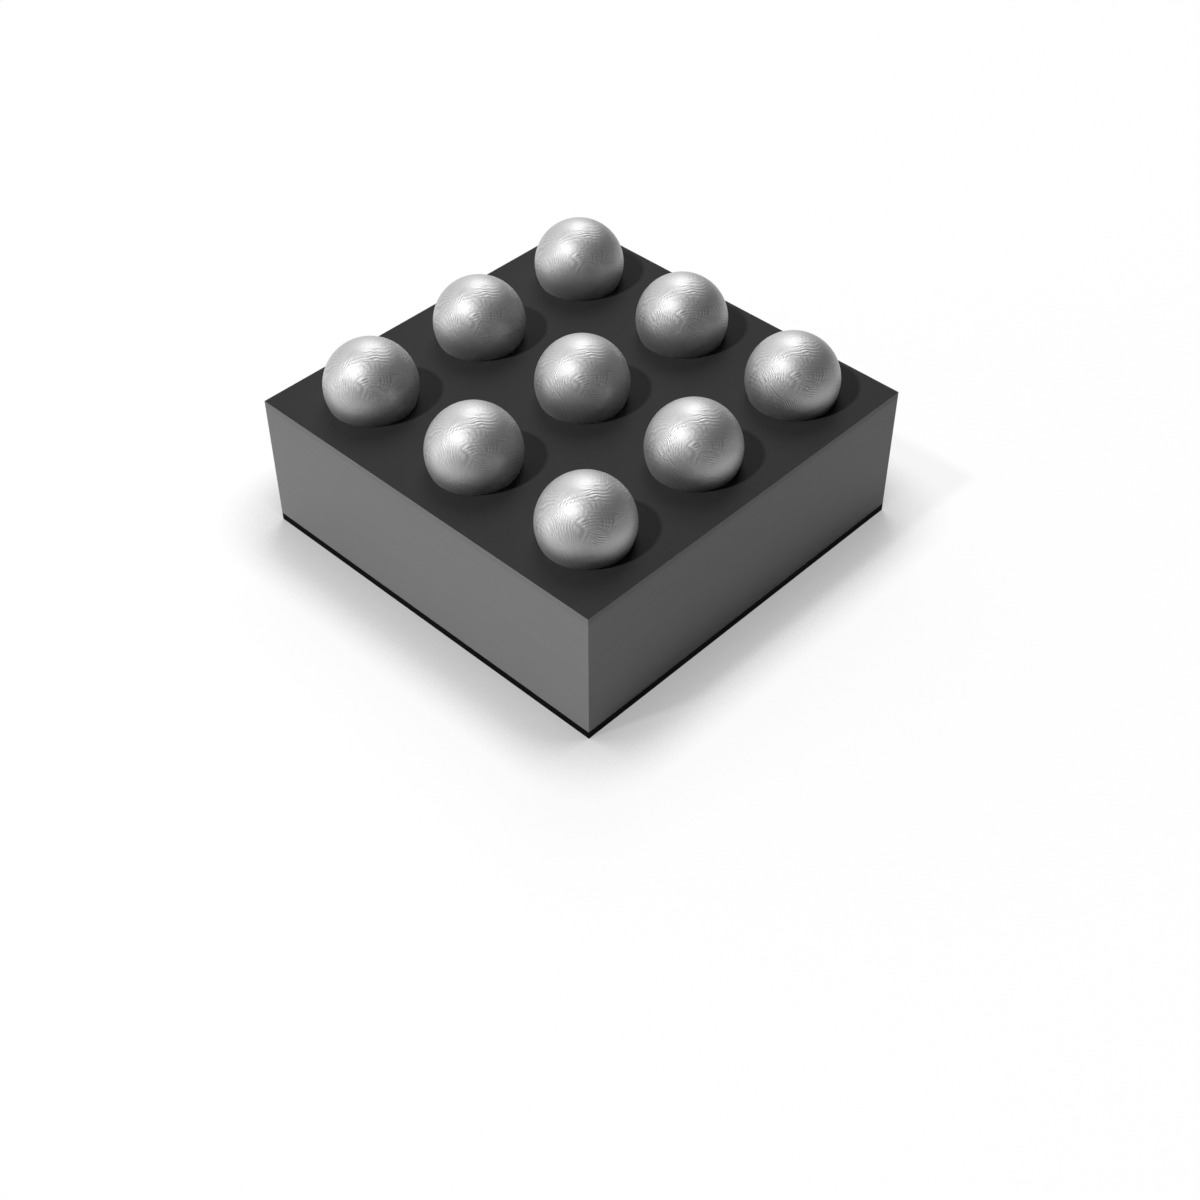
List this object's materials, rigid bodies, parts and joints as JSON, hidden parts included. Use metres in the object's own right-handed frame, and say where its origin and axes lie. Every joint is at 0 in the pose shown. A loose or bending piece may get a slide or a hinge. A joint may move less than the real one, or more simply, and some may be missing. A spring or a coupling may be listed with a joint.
{
  "type": "ball grid array chip",
  "caption": "Square bare-silicon chip-scale package with a thin black film on its back and a grid of solder balls on its dark polymer face, for soldering to a circuit board.",
  "frame": {"origin": "centre of the seating plane, which the tops of the balls touch and where the board's surface would be", "axes": "+Z out of the ball side, with the body below the origin; seen from the balls, +X runs along columns 1 to 3 and +Y along rows A to C, so ball A1 is at -X -Y"},
  "size_m": [0.0012, 0.0012, 0.0006],
  "materials": {
    "backside_film": "thin black protective film, satin",
    "silicon_die": "sawn silicon, satin grey",
    "passivation": "smooth nitride",
    "lower_polymer": "cured polyimide, amber",
    "upper_polymer": "cured polyimide, dark grey, matt",
    "bond_pad": "sputtered",
    "copper": "plated copper, satin",
    "under_bump": "plated copper and nickel, satin",
    "solder": "tin-silver-copper solder, satin with a fine grain"
  },
  "bodies": {
    "root": {"backside_film": "backside_film", "silicon_die": "silicon_die", "passivation": "passivation", "lower_polymer": "lower_polymer", "upper_polymer": "upper_polymer", "bond_pad_a1": "bond_pad", "bond_pad_a2": "bond_pad", "bond_pad_a3": "bond_pad", "bond_pad_b1": "bond_pad", "bond_pad_b2": "bond_pad", "bond_pad_b3": "bond_pad", "bond_pad_c1": "bond_pad", "bond_pad_c2": "bond_pad", "bond_pad_c3": "bond_pad", "copper_trace_a1": "copper", "copper_trace_a2": "copper", "copper_trace_a3": "copper", "copper_trace_b1": "copper", "copper_trace_b2": "copper", "copper_trace_b3": "copper", "copper_trace_c1": "copper", "copper_trace_c2": "copper", "copper_trace_c3": "copper", "under_bump_a1": "under_bump", "under_bump_a2": "under_bump", "under_bump_a3": "under_bump", "under_bump_b1": "under_bump", "under_bump_b2": "under_bump", "under_bump_b3": "under_bump", "under_bump_c1": "under_bump", "under_bump_c2": "under_bump", "under_bump_c3": "under_bump", "solder_ball_a1": "solder", "solder_ball_a2": "solder", "solder_ball_a3": "solder", "solder_ball_b1": "solder", "solder_ball_b2": "solder", "solder_ball_b3": "solder", "solder_ball_c1": "solder", "solder_ball_c2": "solder", "solder_ball_c3": "solder"}
  },
  "joints": []
}
